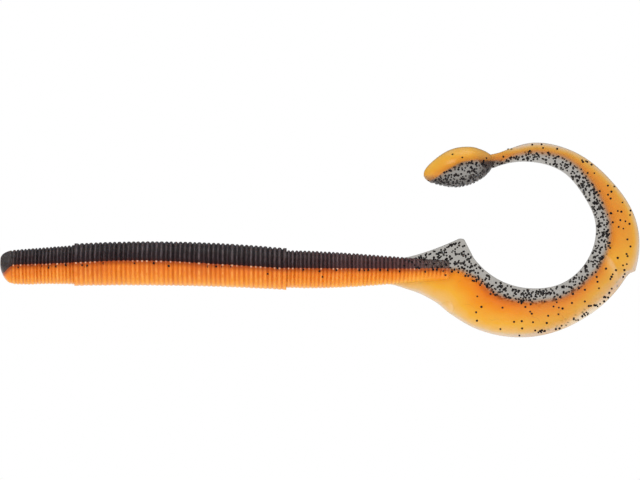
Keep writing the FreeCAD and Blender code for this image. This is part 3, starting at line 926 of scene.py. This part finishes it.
def bulb_profile():
    """(length, radius as a function of the distance along the bulb), measured on the CAD bulb."""
    nodes = [frame["nodes"][name] for name in ("bulb_back", "bulb_belly")]
    corners = [np.array(node.matrix_world @ v.co) for node in nodes for v in node.data.vertices]
    length = max((corner - BULB_AT) @ BULB_ALONG for corner in corners)
    places = np.concatenate([np.arange(2.5 * MM, length - 0.1 * MM, 0.25 * MM), [length - 0.05 * MM]])
    starts = [BULB_AT + BULB_ALONG * gone - SIDE * BESIDE - BULB_UP * 0.05 * MM for gone in places]
    radii = BESIDE - np.array([first_hit(start, SIDE, 2 * BESIDE) for start in starts])
    squared = np.polynomial.Polynomial.fit(places, radii ** 2, 7)

    def radius(gone):
        if gone >= BULB_FOOT:
            return math.sqrt(max(squared(gone), 0.0))
        return math.sqrt(max(0.0, (gone + MM) / (BULB_FOOT + MM)) * max(squared(BULB_FOOT), 0.0))

    return length, radius


BULB_LENGTH, bulb_radius = bulb_profile()


def bulb_line(gone):
    """Height of the colour line over the bulb's axis: it sinks towards the tip, which is all orange."""
    past = (gone - 6.5 * MM) / MM
    drop = 0.03 * past ** 2 if past < 0 else 0.33 * (math.hypot(past, 1) - 1)
    return (1.2 - drop) * MM


def bulb_point(gone, turn, sign):
    """A point of the bulb's skin and the way it faces.

    The turn is from the middle of the layer, which is on top for the belly (sign 1) and below for the
    back (sign -1).
    """
    reach = bulb_radius(gone)
    if sign < 0:
        reach -= BULB_RIB * bulb_groove(gone) * math.cos(turn) ** 0.7
    else:
        reach *= 1 + 0.05 * math.cos(turn)
    out = SIDE * math.sin(turn) + BULB_UP * sign * math.cos(turn)
    slope = (bulb_radius(gone + 0.1 * MM) - bulb_radius(gone - 0.1 * MM)) / (0.2 * MM)
    return BULB_AT + BULB_ALONG * gone + out * max(reach, 0.02 * MM), out - BULB_ALONG * slope


def bulb_groove(gone):
    """1 in a groove of the bulb, 0 on its ribs and on its smooth ends."""
    phase = gone / BULB_PITCH
    ribbed = BULB_FOOT < gone < BULB_LENGTH - 1.5 * MM
    return math.exp(-(abs(phase - round(phase)) / 0.22) ** 2) * ribbed


def build_bulb():
    inside = [-1.0 * MM, -0.8 * MM, -0.4 * MM, 0.3 * MM, 1.0 * MM, 1.6 * MM]
    stations = np.concatenate([inside, np.arange(BULB_FOOT, BULB_LENGTH, 0.11 * MM), [BULB_LENGTH]])
    turns = np.linspace(-math.pi / 2, math.pi / 2, BULB_TURNS)
    rows = [(bulb_groove(gone), bulb_line(gone), bulb_radius(gone)) for gone in stations]
    grooves, line, reach = np.array(rows).T[:, :, None]
    neck = (1 - eased_step(stations, 0.5 * MM, 5 * MM))[:, None]
    for side, sign in (("back", -1), ("belly", 1)):
        points = np.array([[bulb_point(gone, turn, sign)[0] for turn in turns] for gone in stations])
        height = (points - BULB_AT) @ BULB_UP
        edge = (height - line) / MM
        # Paler towards the top of the bulb: painted light from above.
        values = {"edge": edge, "pale": 0.43 + 0.06 * np.clip(edge, 0, 6), "brown": 0.5 * neck}
        if side == "back":
            # Painted shade on the underside of the bulb, darker and less see-through there, and near the
            # neck.
            bulb_underside_shade = 1 - eased_step(height + reach, 0.0, 3.2 * MM)
            # painted shade in the bulb's grooves
            values.update(clear=0.80 - (0.4 * bulb_underside_shade + 0.25 * neck), stripe=0.5 * grooves,
                          dusk=0.3 * neck + 0.7 * bulb_underside_shade)
        else:
            # painted shade on the orange half, more near the neck
            values.update(clear=0.80, dusk=0.3 * neck + 0.13)
        piece = grid_piece(f"bulb_skin_{side}", points, values, *SLOTS[side])
        bend(piece, BULB_JOINT)
        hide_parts(f"bulb_{side}")


build_bulb()

# ---- Flakes

FLAKE_RADIUS, FLAKE_THICK = 0.285 * MM, 0.03 * MM
FLUSH = -0.012 * MM  # depth of a flake that shows at the surface
SMOKE_DENSITY, ORANGE_DENSITY = 4.0, 0.42  # per mm2 of the ribbon, before clustering
RIM_DENSITY, RIM_ANGLES = 2.2, (272, 330)  # per mm of the lobe's rim
BULB_DENSITY, BULB_SPARSE = 2.4, 0.08  # per mm2 of skin, and the share kept just inside the orange
CLUSTER = 1.3 * MM  # the flakes gather in clusters of about this size


def flake_mesh(spots):
    """Corners and faces of thin hexagons at (place, facing, size) spots."""
    points, faces, rest = [], [], []
    for place, facing, size in spots:
        facing = facing / np.linalg.norm(facing)
        across = np.cross(facing, [0.3, 0.2, 0.9])
        across /= np.linalg.norm(across)
        other = np.cross(facing, across)
        base = len(points)
        spin = rng.uniform(0, math.pi)
        for level in (-0.5, 0.5):
            for corner in range(6):
                turn = spin + corner * math.pi / 3
                points.append(place + size * (across * math.cos(turn) + other * math.sin(turn))
                              + facing * level * FLAKE_THICK)
                rest.append(place)
        faces.append([base + c for c in range(5, -1, -1)])
        faces.append([base + 6 + c for c in range(6)])
        faces += [[base + c, base + (c + 1) % 6, base + 6 + (c + 1) % 6, base + 6 + c] for c in range(6)]
    return points, faces, rest


def flakes_piece(name, spots, joint):
    if spots:
        bend(mesh_piece(name, *flake_mesh(spots), *SLOTS["flake"]), joint)


def flake_size():
    return FLAKE_RADIUS * rng.uniform(0.8, 1.2)


def crowding(spot):
    """The chance that a flake is kept here: flakes gather in clusters."""
    return 0.54 + 0.50 * lumps.noise(Vector(spot) / CLUSTER)


def across_ribbon(spot, to_edge, share_buried):
    """A flake flush with the near or far face of the ribbon, or buried under it."""
    face = rng.choice((-1.0, 1.0))
    half = float(half_thickness(spot[None], np.array([to_edge]))[0])
    sunk, tilt = FLUSH, 0.02
    if rng.uniform() < share_buried:
        sunk, tilt = rng.uniform(0.1, 0.35) * MM, 0.25
    spot[1] = face * max(half - sunk, 0.0)
    facing = np.array([rng.normal(0, tilt), face, rng.normal(0, tilt)])
    return spot, facing, flake_size()


def ribbon_flakes(first, last):
    """Flakes in one length of the ribbon: many in the smoke, few in the orange, some on the lobe's rim."""
    spots = []
    for a, b in zip(LINES[first:last], LINES[first + 1:last + 1]):
        step = np.linalg.norm((a - b).mean(axis=0))
        angle = angle_of(a[1])
        sparse = ORANGE_DENSITY * (0.06 + 0.94 * eased_step(angle, 228, 266))  # hardly any at the root
        for edge, density, inside, buried in ((2, SMOKE_DENSITY, 0.06, 0.3), (0, sparse, 0.0, 0.0)):
            width = np.linalg.norm(a[edge] - a[1])
            for _ in range(rng.poisson(density * step * width / MM / MM)):
                share, slide = rng.uniform(0.0, 0.96) - inside, rng.uniform()
                spot = (a[1] * (1 - share) + a[edge] * share) * (1 - slide)
                spot = spot + (b[1] * (1 - share) + b[edge] * share) * slide
                if edge == 0 or rng.uniform() < crowding(spot):
                    spots.append(across_ribbon(spot, (1 - share) * width, buried))
        if RIM_ANGLES[0] < angle < RIM_ANGLES[1]:
            for _ in range(rng.poisson(RIM_DENSITY * step / MM)):
                gap = rng.uniform(0.25, 1.3) * MM
                out = (a[0] - a[1]) / np.linalg.norm(a[0] - a[1])
                spots.append(across_ribbon(a[0] - out * gap, gap, 0.0))
    return spots


def bulb_flakes():
    """Flakes in the bulb's skin: dense in the smoke, few in the orange."""
    spots, slice_width = [], 0.25 * MM
    for start in np.arange(0.5 * MM, BULB_LENGTH - 0.3 * MM, slice_width):
        ring_area = 2 * math.pi * bulb_radius(start) * slice_width / MM / MM
        for _ in range(rng.poisson(BULB_DENSITY * ring_area)):
            gone = start + rng.uniform(0, slice_width)
            turn, sign = rng.uniform(-math.pi / 2, math.pi / 2), rng.choice((-1, 1))
            spot, out = bulb_point(gone, turn, sign)
            height = (spot - BULB_AT) @ BULB_UP - bulb_line(gone)
            chance = crowding(spot) if height < 0.1 * MM else BULB_SPARSE * math.exp(-height / (2 * MM))
            if rng.uniform() < chance:
                out = out / np.linalg.norm(out)
                spots.append((spot - out * FLUSH, out + rng.normal(0, 0.03, 3), flake_size()))
    return spots


def body_flake(station, height, side):
    """A flake on the skin of the body at a station."""
    middle, half = (station.top + station.bottom) / 2, (station.top - station.bottom) / 2
    rise = max(-0.98, min(0.98, (height - middle) / half))
    wide, reach = math.sqrt(1 - rise ** 2), RIB_SWELL * 0.6
    spot = np.array([station.x, side * (station.side + reach) * wide, middle + (half + reach) * rise])
    return spot, np.array([0, side * wide, rise]), flake_size()


def body_flakes(first, last):
    """A few flakes under the seam, more of them towards the tail, and many in the back of the tongue."""
    spots = []
    for station in STATIONS[first:last]:
        tailward = float(eased_step(station.x, 0.88 * ROOT_X, TONGUE_X))
        seam = station.layer + SEAM_LIFT
        for side in (-1, 1):
            if station.x > 3 * MM and rng.uniform() < 0.035 + 0.05 * tailward:
                spots.append(body_flake(station, seam - (0.25 + rng.exponential(0.45)) * MM, side))
            if rng.uniform() < 0.004:
                spots.append(body_flake(station, seam - rng.uniform(0.8, 2.6) * MM, side))
            if rng.uniform() < 0.3 * tailward ** 2:
                spots.append(body_flake(station, rng.uniform(seam, station.top), side))
    return spots


def build_flakes():
    for k, joint in enumerate(BODY_CHAIN):
        flakes_piece(f"flakes_body_{k + 1}", body_flakes(BODY_CUTS[k], BODY_CUTS[k + 1]), joint)
    for k, joint in enumerate(RIBBON_CHAIN):
        flakes_piece(f"flakes_ribbon_{k:02d}", ribbon_flakes(TAIL_CUTS[k], TAIL_CUTS[k + 1]), joint)
    flakes_piece("flakes_bulb", bulb_flakes(), BULB_JOINT)


build_flakes()

# ---- Studio

LIGHTS = (("key", (-0.35, -0.55, 0.50), 0.30, 0.9), ("fill", (0.45, -0.60, 0.25), 0.40, 0.5),
          ("top", (0.05, -0.05, 0.60), 0.30, 0.5))  # place from the worm (m), size (m), watts
FLOOR_REACH, FLOOR_DROP = 0.8, 0.08
WORM_SHARE = 638.6 / 640  # of the picture's width that the worm fills


def set_up(thing, spot, target=None):
    """Puts a light, a camera or the floor in the scene, and points it at the target."""
    bpy.context.collection.objects.link(thing)
    thing.location = spot
    if target is not None:
        thing.rotation_euler = (Vector(target) - thing.location).to_track_quat("-Z", "Y").to_euler()


def studio():
    """A white floor, three soft lights, and a camera square to the worm's plane."""
    low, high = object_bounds()
    centre, width = (low + high) / 2, high.x - low.x
    scene = bpy.context.scene

    mesh, reach = bpy.data.meshes.new("floor"), FLOOR_REACH
    corners = [(-reach, -reach, 0), (reach, -reach, 0), (reach, reach, 0), (-reach, reach, 0)]
    mesh.from_pydata(corners, [], [(0, 1, 2, 3)])
    floor = bpy.data.objects.new("floor", mesh)
    set_up(floor, (0, 0, low.z - FLOOR_DROP))
    paper = bpy.data.materials.new("paper")
    tree = empty_tree(paper)
    matt = add_node(tree, "BsdfDiffuse", {"Color": (0.9, 0.9, 0.9)})
    lit = add_node(tree, "Emission", {"Strength": 0.25})
    add_node(tree, "OutputMaterial", {"Surface": add_node(tree, "AddShader", {0: matt, 1: lit})})
    floor.data.materials.append(paper)
    floor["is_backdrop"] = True

    scene.world = bpy.data.worlds.new("studio")
    tree = empty_tree(scene.world)
    diffuse, glossy = (add_node(tree, "LightPath", output=f"Is {ray} Ray") for ray in ("Diffuse", "Glossy"))
    tone = mix_colour(diffuse, (1.0, 1.0, 1.0), (0.80, 0.80, 0.80))
    tone = mix_colour(glossy, tone, (0.11, 0.11, 0.12))
    add_node(tree, "OutputWorld", {"Surface": add_node(tree, "Background", {"Color": tone})})

    for name, away, size, watts in LIGHTS:
        light = bpy.data.lights.new(name, "AREA")
        light.shape, light.size, light.energy = "SQUARE", size, watts
        set_up(bpy.data.objects.new(name, light), centre + Vector(away), centre)

    camera = bpy.data.cameras.new("camera")
    camera.lens, camera.sensor_width = 250.0, 36.0
    camera.clip_start, camera.clip_end = 0.05, 20.0
    scene.camera = bpy.data.objects.new("camera", camera)
    distance = width / WORM_SHARE * camera.lens / camera.sensor_width
    set_up(scene.camera, centre + Vector((0, -distance, 0)), centre)
    scene.view_settings.view_transform = "Standard"
    scene.view_settings.look = "None"


studio()
